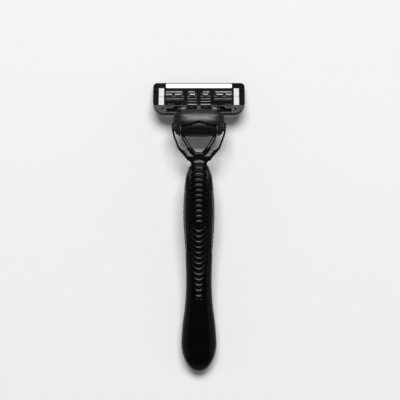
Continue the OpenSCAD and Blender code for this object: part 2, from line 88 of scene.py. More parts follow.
def section_point(half_w, bottom, top, power, angle, inset=0.0):
    """A point of a rounded section; the angle, in degrees, runs from the top towards +X."""
    turn = math.radians(angle)
    half_h = (top - bottom) / 2 - inset
    return (
        (half_w - inset) * signed_power(math.sin(turn), 2 / power),
        (bottom + top) / 2 + half_h * signed_power(math.cos(turn), 2 / power),
    )


def steps(start, end, count):
    return [start + (end - start) * i / count for i in range(count + 1)]


def smooth_step(edge0, edge1, value):
    s = min(max((value - edge0) / (edge1 - edge0), 0.0), 1.0)
    return s * s * (3 - 2 * s)


# ---- Meshes ----

def make_mesh(name, points, faces, smooth_angle=35):
    mesh = bpy.data.meshes.new(name)
    mesh.from_pydata([(x * MM, y * MM, z * MM) for x, y, z in points], [], faces)
    is_solid = len(faces) > 1
    if is_solid:
        shell = bmesh.new()
        shell.from_mesh(mesh)
        bmesh.ops.recalc_face_normals(shell, faces=shell.faces)
        shell.to_mesh(mesh)
        shell.free()
    mesh.update()
    piece = bpy.data.objects.new(name, mesh)
    scene.collection.objects.link(piece)
    shade(piece, smooth_angle)
    return piece


def shade(piece, smooth_angle=35):
    mesh = piece.data
    mesh.polygons.foreach_set("use_smooth", [True] * len(mesh.polygons))
    mesh.set_sharp_from_angle(angle=math.radians(smooth_angle))


def ring_faces(ring_count, n):
    """Faces between neighbouring closed rings of n points."""
    faces = []
    for k in range(ring_count - 1):
        here, beyond = k * n, (k + 1) * n
        for i in range(n):
            j = (i + 1) % n
            faces.append((here + i, beyond + i, beyond + j, here + j))
    return faces


def loft(name, rings, smooth_angle=35):
    """Closed solid through rings of points, with a fan at each end."""
    n = len(rings[0])
    points = [p for ring in rings for p in ring]
    faces = ring_faces(len(rings), n)
    for ring_index, flip in ((0, False), (len(rings) - 1, True)):
        ring = rings[ring_index]
        middle = [sum(p[axis] for p in ring) / n for axis in range(3)]
        points.append(middle)
        hub = len(points) - 1
        first = ring_index * n
        for i in range(n):
            a, b = first + i, first + (i + 1) % n
            faces.append((hub, b, a) if flip else (hub, a, b))
    return make_mesh(name, points, faces, smooth_angle)


def between_caps(name, first, last):
    """Straight solid between two copies of an outline."""
    n = len(first)
    caps = [tuple(range(n))[::-1], tuple(range(n, 2 * n))]
    walls = [(i, (i + 1) % n, n + (i + 1) % n, n + i) for i in range(n)]
    return make_mesh(name, first + last, caps + walls)


def prism(name, outline, low, high):
    """Outline in X and Y, standing between two heights."""
    return between_caps(name, [(x, y, low) for x, y in outline], [(x, y, high) for x, y in outline])


def side_prism(name, outline, half_w):
    """Outline in Y and Z, running across from -half_w to half_w."""
    return between_caps(name, [(-half_w, y, z) for y, z in outline], [(half_w, y, z) for y, z in outline])


def front_prism(name, outline, y_from, y_to):
    """Outline in X and Z, running along Y."""
    return between_caps(name, [(x, y_from, z) for x, z in outline], [(x, y_to, z) for x, z in outline])


def block(name, x, y, z):
    outline = [(x[0], y[0]), (x[1], y[0]), (x[1], y[1]), (x[0], y[1])]
    return prism(name, outline, z[0], z[1])


def disc_outline(centre, radius, count):
    turns = [2 * math.pi * i / count for i in range(count)]
    return [(centre[0] + radius * math.cos(a), centre[1] + radius * math.sin(a)) for a in turns]


def apply_modifier(piece, modifier):
    bpy.context.view_layer.objects.active = piece
    bpy.ops.object.modifier_apply(modifier=modifier.name)


def combine(piece, others, operation, smooth_angle=35):
    """Cuts, joins or meets a piece with other solids, which are used up."""
    for other in others:
        modifier = piece.modifiers.new("combine", "BOOLEAN")
        modifier.operation = operation
        modifier.solver = "EXACT"
        modifier.object = other
        apply_modifier(piece, modifier)
        mesh = other.data
        bpy.data.objects.remove(other)
        bpy.data.meshes.remove(mesh)
    shade(piece, smooth_angle)
    return piece


def round_edges(piece, width, segments, merge_flats=True, limit=32):
    if merge_flats:
        flats = piece.modifiers.new("flats", "DECIMATE")
        flats.decimate_type = "DISSOLVE"
        flats.angle_limit = math.radians(0.6)
    bevel = piece.modifiers.new("rounding", "BEVEL")
    bevel.width = width * MM
    bevel.segments = segments
    bevel.limit_method = "ANGLE"
    bevel.angle_limit = math.radians(limit)
    bevel.use_clamp_overlap = True
    bevel.harden_normals = False
    piece.modifiers.new("normals", "WEIGHTED_NORMAL")


# ---- Materials ----

def shader(name):
    material = bpy.data.materials.new(name)
    material.use_nodes = True
    nodes = material.node_tree.nodes
    return material, nodes, material.node_tree.links, nodes["Principled BSDF"]


def noise(nodes, links, coordinates, feature_mm, detail, stretch=None):
    """Noise whose features are about feature_mm across."""
    source = coordinates.outputs["Object"]
    if stretch:
        mapping = nodes.new("ShaderNodeMapping")
        mapping.inputs["Scale"].default_value = stretch
        links.new(source, mapping.inputs["Vector"])
        source = mapping.outputs["Vector"]
    texture = nodes.new("ShaderNodeTexNoise")
    texture.inputs["Scale"].default_value = 1 / (feature_mm * MM)
    texture.inputs["Detail"].default_value = detail
    links.new(source, texture.inputs["Vector"])
    return texture


def ramp(nodes, links, source, low, high, span=(0.3, 0.7)):
    """Colour ramp between two tones; single numbers are greys."""
    node = nodes.new("ShaderNodeValToRGB")
    for element, tone, place in zip(node.color_ramp.elements, (low, high), span):
        colour = tone if isinstance(tone, tuple) else (tone, tone, tone)
        element.color = (*colour, 1)
        element.position = place
    links.new(source, node.inputs["Fac"])
    return node.outputs["Color"]


def bump(nodes, links, source, height_mm, strength, below=None):
    node = nodes.new("ShaderNodeBump")
    node.inputs["Strength"].default_value = strength
    node.inputs["Distance"].default_value = height_mm * MM
    links.new(source, node.inputs["Height"])
    if below:
        links.new(below, node.inputs["Normal"])
    return node.outputs["Normal"]


def plastic(name, dark, light, rough, grain_mm, grain_height, specular, wear=0.04):
    """Moulded plastic or rubber: mottled tone, uneven sheen, fine grain and faint scuffs."""
    material, nodes, links, surface = shader(name)
    coordinates = nodes.new("ShaderNodeTexCoord")
    mottle = noise(nodes, links, coordinates, 6, 5)
    links.new(ramp(nodes, links, mottle.outputs["Fac"], dark, light), surface.inputs["Base Color"])
    sheen = noise(nodes, links, coordinates, 2.2, 6)
    links.new(
        ramp(nodes, links, sheen.outputs["Fac"], rough - wear, rough + wear, (0.25, 0.75)),
        surface.inputs["Roughness"],
    )
    grain = noise(nodes, links, coordinates, grain_mm, 2)
    scuffs = noise(nodes, links, coordinates, 0.7, 4, (1, 0.12, 1))
    grained = bump(nodes, links, grain.outputs["Fac"], grain_height, 0.5)
    links.new(bump(nodes, links, scuffs.outputs["Fac"], 0.004, 0.35, grained), surface.inputs["Normal"])
    surface.inputs["Specular IOR Level"].default_value = specular
    return material


def metal(name, dark, light, rough, brushed=(0.04, 1, 1)):
    """Drawn or rolled metal: brushed lines along X, uneven sheen, faint stains."""
    material, nodes, links, surface = shader(name)
    coordinates = nodes.new("ShaderNodeTexCoord")
    stain = noise(nodes, links, coordinates, 4, 6)
    links.new(ramp(nodes, links, stain.outputs["Fac"], dark, light), surface.inputs["Base Color"])
    lines = noise(nodes, links, coordinates, 0.05, 2, brushed)
    sheen = ramp(nodes, links, lines.outputs["Fac"], rough * 0.7, rough * 1.3)
    links.new(sheen, surface.inputs["Roughness"])
    links.new(bump(nodes, links, lines.outputs["Fac"], 0.003, 0.4), surface.inputs["Normal"])
    surface.inputs["Metallic"].default_value = 1.0
    return material


def lubricant(name):
    """Soft waxy strip: slightly translucent, smooth, with faint streaks along X."""
    material, nodes, links, surface = shader(name)
    coordinates = nodes.new("ShaderNodeTexCoord")
    streaks = noise(nodes, links, coordinates, 0.5, 4, (0.1, 1, 1))
    tone = ramp(nodes, links, streaks.outputs["Fac"], (0.86, 0.87, 0.88), (0.95, 0.95, 0.95))
    links.new(tone, surface.inputs["Base Color"])
    speckle = noise(nodes, links, coordinates, 0.15, 3)
    links.new(ramp(nodes, links, speckle.outputs["Fac"], 0.3, 0.5), surface.inputs["Roughness"])
    links.new(bump(nodes, links, speckle.outputs["Fac"], 0.006, 0.4), surface.inputs["Normal"])
    surface.inputs["Subsurface Weight"].default_value = 0.15
    surface.inputs["Subsurface Radius"].default_value = (0.0006, 0.0006, 0.0006)
    return material


MATERIALS = {
    "handle_plastic": plastic(
        "handle_plastic", 0.0006, 0.0012, rough=0.24, grain_mm=0.25, grain_height=0.003, specular=0.14
    ),
    "grip_rubber": plastic(
        "grip_rubber", 0.0006, 0.0012,
        rough=0.24, grain_mm=0.12, grain_height=0.006, specular=0.14, wear=0.05,
    ),
    "inset_plastic": plastic(
        "inset_plastic", 0.0006, 0.0012, rough=0.22, grain_mm=0.2, grain_height=0.003, specular=0.14
    ),
    "yoke_plastic": plastic(
        "yoke_plastic", 0.0006, 0.0012,
        rough=0.2, grain_mm=0.4, grain_height=0.002, specular=0.17, wear=0.03,
    ),
    "head_plastic": plastic(
        "head_plastic", (0.003, 0.0032, 0.0034), (0.005, 0.0052, 0.0056),
        rough=0.34, grain_mm=0.1, grain_height=0.006, specular=0.42,
    ),
    "base_plastic": plastic(
        "base_plastic", 0.002, 0.003, rough=0.38, grain_mm=0.12, grain_height=0.006, specular=0.25
    ),
    "button_plastic": plastic(
        "button_plastic", (0.003, 0.0032, 0.0032), (0.005, 0.0052, 0.0052),
        rough=0.34, grain_mm=0.1, grain_height=0.006, specular=0.14,
    ),
    "spring_steel": metal("spring_steel", 0.55, 0.68, 0.25),
    "steel_rod": metal("steel_rod", 0.5, 0.6, 0.35),
    "cartridge_plastic": plastic(
        "cartridge_plastic", (0.0045, 0.005, 0.006), (0.007, 0.008, 0.0095),
        rough=0.26, grain_mm=0.08, grain_height=0.004, specular=0.12,
    ),
    "lubricating_strip": lubricant("lubricating_strip"),
    "guard_rubber": plastic(
        "guard_rubber", 0.018, 0.028, rough=0.55, grain_mm=0.08, grain_height=0.01, specular=0.4, wear=0.06
    ),
    "clip_aluminium": metal("clip_aluminium", 0.88, 0.95, 0.52, (0.1, 1, 1)),
    "blade_steel": metal("blade_steel", 0.8, 0.88, 0.42),
    # Near-black steel on the blade supports is painted shade, darkening the supports seen through the windows
    "support_steel": metal("support_steel", 0.05, 0.08, 0.4),
}
NODE_SLOTS = {
    "handle_core": "handle_plastic", "weight_rod": "steel_rod", "thumb_grip": "grip_rubber",
    "finger_grip": "grip_rubber", "tail_inset": "inset_plastic", "neck_yoke": "yoke_plastic",
    "head_housing": "head_plastic", "head_base": "base_plastic", "release_button": "button_plastic",
    "button_springs": "spring_steel", "plunger": "base_plastic", "plunger_spring": "spring_steel",
    "connector": "head_plastic", "cartridge_frame": "cartridge_plastic",
    "lubricating_strip": "lubricating_strip", "guard_fins": "guard_rubber",
    "clip_left": "clip_aluminium", "clip_right": "clip_aluminium",
}
for number in range(1, 6):
    NODE_SLOTS[f"blade_{number}"] = "blade_steel"
    NODE_SLOTS[f"blade_support_{number}"] = "support_steel"

NODE_BODY = {}
for body, members in frame["record"]["behaviour"]["bodies"].items():
    for member in members:
        NODE_BODY[member] = body


def wear(piece, slot_name):
    piece.data.materials.clear()
    piece.data.materials.append(MATERIALS[slot_name])


def stand_for(piece, node):
    """A finished piece takes the place, finish and body of a CAD node."""
    triangles = piece.modifiers.new("triangles", "TRIANGULATE")
    triangles.keep_custom_normals = True
    apply_modifier(piece, triangles)
    wear(piece, NODE_SLOTS[node])
    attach(piece, NODE_BODY[node])
    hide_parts(node)


for node, slot_name in NODE_SLOTS.items():
    wear(frame["nodes"][node], slot_name)


# ---- Stage, light and camera ----

FLOOR_HALF = 2500
FLOOR_DROP = 0.02
CORNERS = [(-1, -1), (1, -1), (1, 1), (-1, 1)]
PAPER_TONES = ((0.80, 0.808, 0.825), (0.815, 0.823, 0.84))

floor = make_mesh("floor", [(FLOOR_HALF * x, FLOOR_HALF * y, 0) for x, y in CORNERS], [(0, 1, 2, 3)])
floor.location.z = -FLOOR_DROP * MM
paper, paper_nodes, paper_links, paper_surface = shader("paper")
paper_coordinates = paper_nodes.new("ShaderNodeTexCoord")
paper_fibre = noise(paper_nodes, paper_links, paper_coordinates, 1.5, 6)
paper_tone = ramp(paper_nodes, paper_links, paper_fibre.outputs["Fac"], *PAPER_TONES)
paper_links.new(paper_tone, paper_surface.inputs["Base Color"])
paper_surface.inputs["Roughness"].default_value = 0.9
floor.data.materials.append(paper)


LIGHT_DISTANCE = 2.8
# Name, azimuth from the head's side, elevation, width and height, radiance
SOFT_BOXES = [
    ("key_light", 2, 60, (1.8, 1.1), 14.2),
    ("left_fill", -95, 24, (2.6, 1.2), 0.5),
    ("right_fill", 95, 24, (2.6, 1.2), 0.6),
    ("tail_fill", 180, 22, (3, 1), 0.5),
]


def soft_box(name, azimuth, elevation, size, radiance):
    """Rectangular light aimed at the razor."""
    data = bpy.data.lights.new(name, "AREA")
    data.shape = "RECTANGLE"
    data.size, data.size_y = size
    data.energy = radiance * math.pi * size[0] * size[1]
    light = bpy.data.objects.new(name, data)
    scene.collection.objects.link(light)
    a, e = math.radians(azimuth), math.radians(elevation)
    direction = Vector((math.sin(a) * math.cos(e), math.cos(a) * math.cos(e), math.sin(e)))
    light.location = direction * LIGHT_DISTANCE
    light.rotation_euler = direction.to_track_quat("Z", "Y").to_euler()


for row in SOFT_BOXES:
    soft_box(*row)

world = bpy.data.worlds.new("studio")
scene.world = world
world.use_nodes = True
world.node_tree.nodes["Background"].inputs["Color"].default_value = (1, 1, 1, 1)
world.node_tree.nodes["Background"].inputs["Strength"].default_value = 0.1
scene.view_settings.view_transform = "Standard"

CAMERA_PLACE = (0.5, 12.5, 800)
camera_data = bpy.data.cameras.new("camera")
camera_data.lens = 152.8
camera_data.clip_start = 0.01
camera = bpy.data.objects.new("camera", camera_data)
camera.location = [c * MM for c in CAMERA_PLACE]
scene.collection.objects.link(camera)
scene.camera = camera

# ---- Grip body and rubber pads ----

TAIL_ROUND_L = 13.75
TAIL_HALF_W = 16.6 / 2
WAIST_HALF_W = 12 / 2
THUMB_HALF_W = 14.8 / 2
# Distance from the tail, half width, underside, top
GRIP_TABLE = [
    (TAIL_ROUND_L, TAIL_HALF_W, 0, 10.6),
    (21.75, 0.93 * TAIL_HALF_W, 0.5, 11.5),
    (31, 1.09 * WAIST_HALF_W, 2.2, 12.2),
    (42, WAIST_HALF_W, 4.4, 13.3),
    (53, 1.05 * WAIST_HALF_W, 6.0, 15.1),
    (60, 0.9 * THUMB_HALF_W, 6.9, 16.6),
    (69, 0.99 * THUMB_HALF_W, 7.6, 18.3),
    (77, THUMB_HALF_W, 8.4, 19.4),
    (85, 0.93 * THUMB_HALF_W, 9.7, 19.7),
    (91, 0.82 * THUMB_HALF_W, 11.0, 19.3),
    (grip_l, 0.6 * THUMB_HALF_W, 11.9, 18.4),
]
GRIP_POWER = 2.3
THUMB_RANGE = (31.5, 95)
FINGER_RANGE = (57.5, 83.5)
THUMB_HALF_ANGLE = 105
FINGER_HALF_ANGLE = 40
RUBBER_T = 1.1
PAD_SEAT = RUBBER_T - 0.1
# Gap around a pad, at its ends and (in degrees) at its sides
PAD_END_GAP = 0.1
PAD_SIDE_GAP = 1.6
PAD_RING_PITCH = 0.16
MM_PER_DEGREE = 0.115


def grip_section(t):
    held_t = max(t, TAIL_ROUND_L)
    shrink = math.sqrt(1 - ((TAIL_ROUND_L - t) / TAIL_ROUND_L) ** 2) if t < TAIL_ROUND_L else 1
    bottom, top = smooth_value(GRIP_TABLE, held_t, 2), smooth_value(GRIP_TABLE, held_t, 3)
    middle, half_h = (bottom + top) / 2, shrink * (top - bottom) / 2
    return shrink * smooth_value(GRIP_TABLE, held_t, 1), middle - half_h, middle + half_h


def grip_point(t, section, angle, inset=0.0):
    x, z = section_point(*section, GRIP_POWER, angle, inset)
    return (x, tail_y + t, z)


def edge_roll(distance, radius=0.35):
    """How far a rounded edge has dropped, at a distance inside the border."""
    if distance >= radius:
        return 0.0
    return radius - math.sqrt(max(radius * radius - (radius - distance) ** 2, 0))


def crest(distance, half_w):
    return math.exp(-((distance / half_w) ** 2))


RIB_DEPTH = 0.34
RIB_HALF_W = 0.52
# Distances of the ribs from the neck seam: two fans that bow away from a smooth lens between them
UPPER_RIBS = [2.15 + 2.35 * i for i in range(11)]
LOWER_RIBS = [30.4 + 2.517 * i for i in range(13)]
UPPER_BOW = 0.132
LOWER_BOW = 0.23
LENS_FROM = 27
LENS_TO = 29
LENS_LEVEL = 0.75
RIBS_END = 62
# The ribbed panel narrows towards the tail, between two grooves
PANEL_WIDE = 3.9
PANEL_NARROW = 1.4
TAPER_FROM = 36
GROOVE_DEPTH = 0.2
GROOVE_OFFSET = 0.25
SIDE_LINE_X = 5.85
SIDE_LINE_HEIGHT = 0.1
SIDE_BUMPS = [12.9 + 2.345 * i for i in range(12)]
BUMP_DEPTH = 0.65
BUMP_HALF_W = 0.6
DEEPEST_RELIEF = 0.8
FINGER_PANEL_HALF_W = 3.6
FINGER_RIBS = [14.5 + 2.35 * i for i in range(10)]
FINGER_RIB_DEPTH = 0.3


def distance_to_nearest(values, value):
    return min(abs(value - v) for v in values)


def thumb_relief(x, s, angle):
    """Depth below the grip's outer surface; s is the distance from the neck seam."""
    side = abs(x)
    panel_w = PANEL_WIDE + (PANEL_NARROW - PANEL_WIDE) * smooth_step(TAPER_FROM, RIBS_END, s)
    upper_s = s - UPPER_BOW * side * side
    lower_s = s + LOWER_BOW * side * side
    if upper_s < LENS_FROM:
        raised = crest(distance_to_nearest(UPPER_RIBS, upper_s), RIB_HALF_W)
    elif lower_s > LENS_TO:
        raised = crest(distance_to_nearest(LOWER_RIBS, lower_s), RIB_HALF_W) if lower_s < RIBS_END else 1
    else:
        raised = LENS_LEVEL
    inside = 1 - smooth_step(panel_w - 0.25, panel_w + 0.15, side)
    ribs = RIB_DEPTH * (1 - raised) * inside
    groove = GROOVE_DEPTH * crest(side - panel_w - GROOVE_OFFSET, 0.16) * (1 - smooth_step(58, RIBS_END, s))
    beside_line = SIDE_LINE_HEIGHT * (1 - crest(side - SIDE_LINE_X, 0.3))
    beside_line *= (1 - inside) * (1 - smooth_step(40, 50, s))
    bump_zone = smooth_step(58, 70, abs(angle)) * smooth_step(11, 12.5, s) * (1 - smooth_step(39, 40.5, s))
    bumps = BUMP_DEPTH * (1 - crest(distance_to_nearest(SIDE_BUMPS, s), BUMP_HALF_W)) * bump_zone
    return ribs + groove + beside_line + bumps


def finger_relief(x, s, angle):
    inside = 1 - smooth_step(FINGER_PANEL_HALF_W - 0.2, FINGER_PANEL_HALF_W + 0.2, abs(x))
    return FINGER_RIB_DEPTH * (1 - crest(distance_to_nearest(FINGER_RIBS, s), 0.55)) * inside


def rubber_pad(name, t_range, middle_angle, half_angle, relief):
    ring_count = round((t_range[1] - t_range[0]) / PAD_RING_PITCH)
    stations = steps(t_range[0] + PAD_END_GAP, t_range[1] - PAD_END_GAP, ring_count)
    half_angle -= PAD_SIDE_GAP
    angles = steps(-half_angle, half_angle, round(half_angle * 1.5))
    points = []
    for t in stations:
        section = grip_section(t)
        end_distance = min(t - stations[0], stations[-1] - t)
        for turn in angles:
            side_distance = (half_angle - abs(turn)) * MM_PER_DEGREE
            x, y, _ = grip_point(t, section, middle_angle + turn)
            depth = relief(x, seam_y - y, turn)
            depth = min(depth + edge_roll(end_distance, 0.12) + edge_roll(side_distance), DEEPEST_RELIEF)
            points.append(grip_point(t, section, middle_angle + turn, depth))
        for turn in reversed(angles):
            points.append(grip_point(t, section, middle_angle + turn, PAD_SEAT))
    n = 2 * len(angles)
    last = (len(stations) - 1) * n
    faces = ring_faces(len(stations), n)
    for i in range(len(angles) - 1):
        a, b, c, d = i, i + 1, n - 2 - i, n - 1 - i
        faces.append((a, b, c, d))
        faces.append((last + d, last + c, last + b, last + a))
    return make_mesh(name, points, faces, 60)


def pad_inset(t, angle):
    turn = 360 - abs(angle) if abs(angle) > 180 else abs(angle)
    under_thumb = THUMB_RANGE[0] < t < THUMB_RANGE[1] and turn < THUMB_HALF_ANGLE
    over_finger = FINGER_RANGE[0] < t < FINGER_RANGE[1] and turn > 180 - FINGER_HALF_ANGLE
    return RUBBER_T if under_thumb or over_finger else 0.0


def grip_body(name, with_pads):
    edge_turns = [THUMB_HALF_ANGLE, 180 - FINGER_HALF_ANGLE]
    half_turn = sorted(
        [a for a in steps(0, 180, 72) if all(abs(a - e) > 1.6 for e in edge_turns)]
        + [e + side for e in edge_turns for side in (-0.6, -0.1, 0.1, 0.6)]
    )
    angles = half_turn + [360 - a for a in reversed(half_turn[1:-1])]
    edge_places = THUMB_RANGE + FINGER_RANGE
    tail = [TAIL_ROUND_L * (1 - math.cos(math.radians(a))) for a in range(3, 88, 3)]
    body = [t for t in steps(TAIL_ROUND_L, grip_l - 0.6, 136) if all(abs(t - e) > 0.3 for e in edge_places)]
    body += [e + side for e in edge_places for side in (-0.15, -0.02, 0.02, 0.15)]
    nose = [grip_l - d for d in (0.45, 0.3, 0.18, 0.08, 0.02, 0)]
    rings = []
    for t in tail + sorted(body) + nose:
        section = grip_section(t)
        roll = edge_roll(grip_l - t, 0.5)
        insets = [pad_inset(t, a) if with_pads else 0 for a in angles]
        rings.append([grip_point(t, section, a, inset + roll) for a, inset in zip(angles, insets)])
    return loft(name, rings, 50)


INSET_T = 16.4
INSET_HALF = (11.7 / 2, 22.8 / 2)
INSET_Z = 11
INSET_DEPTH = 1
INSET_SLOPE = math.radians(7)
BORE_Z = 14.7
BORE_SLOPE = math.radians(6.5)
BORE_R = 2.02
BORE_L = 67


def inset_prism(name, clearance, low, high):
    """Oval prism standing on the sloping seat of the tail inset."""
    half_w = INSET_HALF[0] + clearance
    half_l = INSET_HALF[1] + clearance * 2
    turns = [2 * math.pi * i / 120 for i in range(120)]
    piece = prism(name, [(half_w * math.cos(a), half_l * math.sin(a)) for a in turns], low, high)
    piece.location = (0, (tail_y + INSET_T) * MM, (INSET_Z - INSET_DEPTH) * MM)
    piece.rotation_euler.x = INSET_SLOPE
    return piece


def sloping_bore(name, radius, length):
    """Round bar from just past the seam towards the tail, along the bore of rod and tongue."""
    piece = front_prism(name, disc_outline((0, 0), radius, 40), -length, 1)
    piece.location = (0, seam_y * MM, BORE_Z * MM)
    piece.rotation_euler.x = BORE_SLOPE
    return piece


core = grip_body("grip_body", True)
seats = [inset_prism("inset_seat", 0.12, 0, 8), sloping_bore("rod_bore", BORE_R, BORE_L)]
combine(core, seats, "DIFFERENCE", 50)
stand_for(core, "handle_core")

thumb = rubber_pad("thumb_rubber", THUMB_RANGE, 0, THUMB_HALF_ANGLE, thumb_relief)
stand_for(thumb, "thumb_grip")

finger = rubber_pad("finger_rubber", FINGER_RANGE, 180, FINGER_HALF_ANGLE, finger_relief)
stand_for(finger, "finger_grip")

plate = grip_body("tail_plate", False)
combine(plate, [inset_prism("plate_outline", -0.08, 0.05, 8)], "INTERSECT", 50)
round_edges(plate, 0.22, 3, False, 40)
stand_for(plate, "tail_inset")

# ---- Head: housing, base, button and connector ----

# Distance from the pivot, half width, underside, top
HEAD_TABLE = [
    (-12.4, 8.6, 11.2, 14.6),
    (-11.2, 10.5, 10.4, 16.0),
    (-9.2, 11.2, 10.3, 17.4),
    (-7.6, 11.4, 10.3, 18.2),
    (-5.6, 12.2, 10.3, 18.4),
    (-3.8, 12.0, 10.4, 18.2),
    (-2.6, 11.6, 12.2, 17.85),
    (-1.6, 11.1, 12.4, 17.45),
    (0.4, 10.3, 12.4, 16.4),
]
HEAD_POWER = 2.3
SEAM_RADIUS = 21.9
SEAM_APEX = -2.75
FRONT_RADIUS = 33.4
FRONT_APEX = 0.2
SEAM_GAP = 0.15
BASE_TOP = 11.3
DECK = 13.7
ROOF = 17
ROOF_DROP = 0.0135
BUTTON_HALF_W = 8.3
BUTTON_TOP = 16.7
SLIDING_GAP = 0.3
CHEVRON_GAP = 0.2
BUTTON_TRAVEL = 2.4
PRONG_X = (2.5, 4.1)
TENON_X = (4.6, 6.4)
TENON_Y = (-6.2, -2.2)
LUG_X = (6.9, 8.3)
ARM_X = (6.6, 8.2)
EAR_X = (8.4, 9.8)
# What stands on the base, across and along
GUIDE_RAIL = ((4.5, 6.2), (-10.6, -4.4))
SPRING_STOP = ((6.2, 8.6), (-5.4, -4.6))
SIDE_WALL = ((8.7, 9.3), (-10.4, -5))
PLUNGER_SPRING_SEAT = ((-1.6, 1.6), (-10.6, -9.8))
TRUNNION_Y = -8.9
TRUNNION_Z = 14
TRUNNION_R = 1


def head_body(name):
    stations = steps(HEAD_TABLE[0][0], -3.8, 60) + steps(-3.7, HEAD_TABLE[-1][0], 28)
    angles = steps(0, 360, 132)[:-1]
    rings = []
    for y in stations:
        half_w, bottom, top = (smooth_value(HEAD_TABLE, y, column) for column in (1, 2, 3))
        roll = edge_roll(y - stations[0], 0.4)
        section = [section_point(half_w, bottom, top, HEAD_POWER, a, roll) for a in angles]
        rings.append([(x, y, z) for x, z in section])
    return loft(name, rings, 40)


def in_head(piece):
    """Moves a piece drawn from the pivot, at head heights, to its place."""
    piece.data.transform(head_matrix)
    return piece


def inside_disc(name, apex, radius):
    """Upright cylinder whose front reaches the apex on the middle line."""
    return prism(name, disc_outline((0, apex - radius), radius, 360), -5, 40)


def roof_line(top, half_w):
    return [(x, top - ROOF_DROP * x * x) for x in steps(-half_w, half_w, 40)]


def tunnel(name, top, half_w, bottom, y):
    return front_prism(name, [(half_w, bottom), (-half_w, bottom)] + roof_line(top, half_w), *y)


def button_outline(grow):
    half_w = BUTTON_HALF_W + grow
    return [
        (-half_w, -12.6), (half_w, -12.6), (half_w, -7.5 + grow), (4.2, -6.7 + grow),
        (0, -5.3 + grow), (-4.2, -6.7 + grow), (-half_w, -7.5 + grow),
    ]


def on_both_sides(make, x, *sizes):
    """The same solid at a span of X and at its mirror image."""
    return [make(x, *sizes), make((-x[1], -x[0]), *sizes)]


def head_block(x, y, z):
    return block("head_block", x, y, z)


def cross_rod(x, y, z, radius):
    piece = side_prism("cross_rod", disc_outline((y, z), radius, 40), (x[1] - x[0]) / 2)
    piece.data.transform(Matrix.Translation(((x[0] + x[1]) / 2 * MM, 0, 0)))
    return piece


head_matrix = Matrix.Translation((0, pivot_y * MM, head_z * MM))

housing = head_body("head_cover")
combine(housing, [inside_disc("seam", SEAM_APEX, SEAM_RADIUS)], "INTERSECT")
combine(housing, [
    block("below", (-30, 30), (-30, 10), (0, BASE_TOP + 0.05)),
    prism("button_opening", button_outline(SLIDING_GAP), BASE_TOP, 30),
    tunnel("cavity", ROOF, BUTTON_HALF_W + 1.1, BASE_TOP - 1, (-9.4, 1)),
    cross_rod((-20, 20), TRUNNION_Y, TRUNNION_Z, TRUNNION_R),
    *on_both_sides(head_block, (EAR_X[0] - 0.2, 12.6), (-6, 1), (DECK - 5, DECK - 1.4)),
], "DIFFERENCE")
round_edges(housing, 0.1, 2, False, 40)
stand_for(in_head(housing), "head_housing")

base = head_body("head_floor")
combine(base, [inside_disc("seam", SEAM_APEX, SEAM_RADIUS)], "INTERSECT")
combine(base, [block("above", (-30, 30), (-30, 10), (BASE_TOP, 40))], "DIFFERENCE")
standing_z = (BASE_TOP - 0.01, DECK)
combine(base, [
    *on_both_sides(head_block, *GUIDE_RAIL, standing_z),
    *on_both_sides(head_block, *SPRING_STOP, standing_z),
    *on_both_sides(head_block, *SIDE_WALL, standing_z),
    head_block(*PLUNGER_SPRING_SEAT, standing_z),
], "UNION")
round_edges(base, 0.1, 2, False, 40)
stand_for(in_head(base), "head_base")


def scoop(name, middle, half_l, half_w, depth, tilt):
    """Long shallow hollow for the thumb: a stadium in plan, lying on the tilted step."""
    rings = []
    for x in steps(-half_l, half_l, 60):
        swell = (1 - abs(x / half_l) ** 5) ** 0.5 if abs(x) < half_l else 0.0
        swell = max(swell, 0.02)
        ring = []
        for turn in steps(0, 360, 40)[:-1]:
            along = half_w * swell * signed_power(math.cos(math.radians(turn)), 0.8)
            up = depth * swell * signed_power(math.sin(math.radians(turn)), 0.8)
            ring.append((
                x,
                middle[0] + along * math.cos(tilt) - up * math.sin(tilt),
                middle[1] + along * math.sin(tilt) + up * math.cos(tilt),
            ))
        rings.append(ring)
    return loft(name, rings)


BUTTON_BOTTOM = 13.95
cap_outline = [(x, y - (CHEVRON_GAP if y > -8 else 0)) for x, y in button_outline(0)]
button = prism("button_cap", cap_outline, BUTTON_BOTTOM, 18)
combine(button, [
    tunnel("button_roof", BUTTON_TOP, BUTTON_HALF_W, 13, (-13, 0)),
    side_prism("button_step", [
        (-12.2, BUTTON_BOTTOM), (-5, BUTTON_BOTTOM), (-5, 16.0), (-6.9, 16.75), (-8.1, 16.75),
        (-8.6, 16.3), (-12.2, 14.75),
    ], 20),
], "INTERSECT")
combine(button, [
    scoop("thumb_hollow", (-10.45, 15.6), 7.6, 1.6, 0.35, math.radians(23)),
    tunnel("button_cavity", BUTTON_TOP - 1, BUTTON_HALF_W - 0.8, 13, (-8.7, -4)),
    head_block((-4.5, 4.5), (-9.6, -8.6), (13, 15.32)),
], "DIFFERENCE")
leg_front = TENON_Y[0] - BUTTON_TRAVEL - SLIDING_GAP
combine(button, [
    *on_both_sides(head_block, TENON_X, (-11.6, leg_front), (DECK + 0.2, 14.4)),
    *on_both_sides(head_block, LUG_X, (-10.8, -9.8), (11.7, 14.2)),
], "UNION")
round_edges(button, 0.12, 3, False, 30)
stand_for(in_head(button), "release_button")

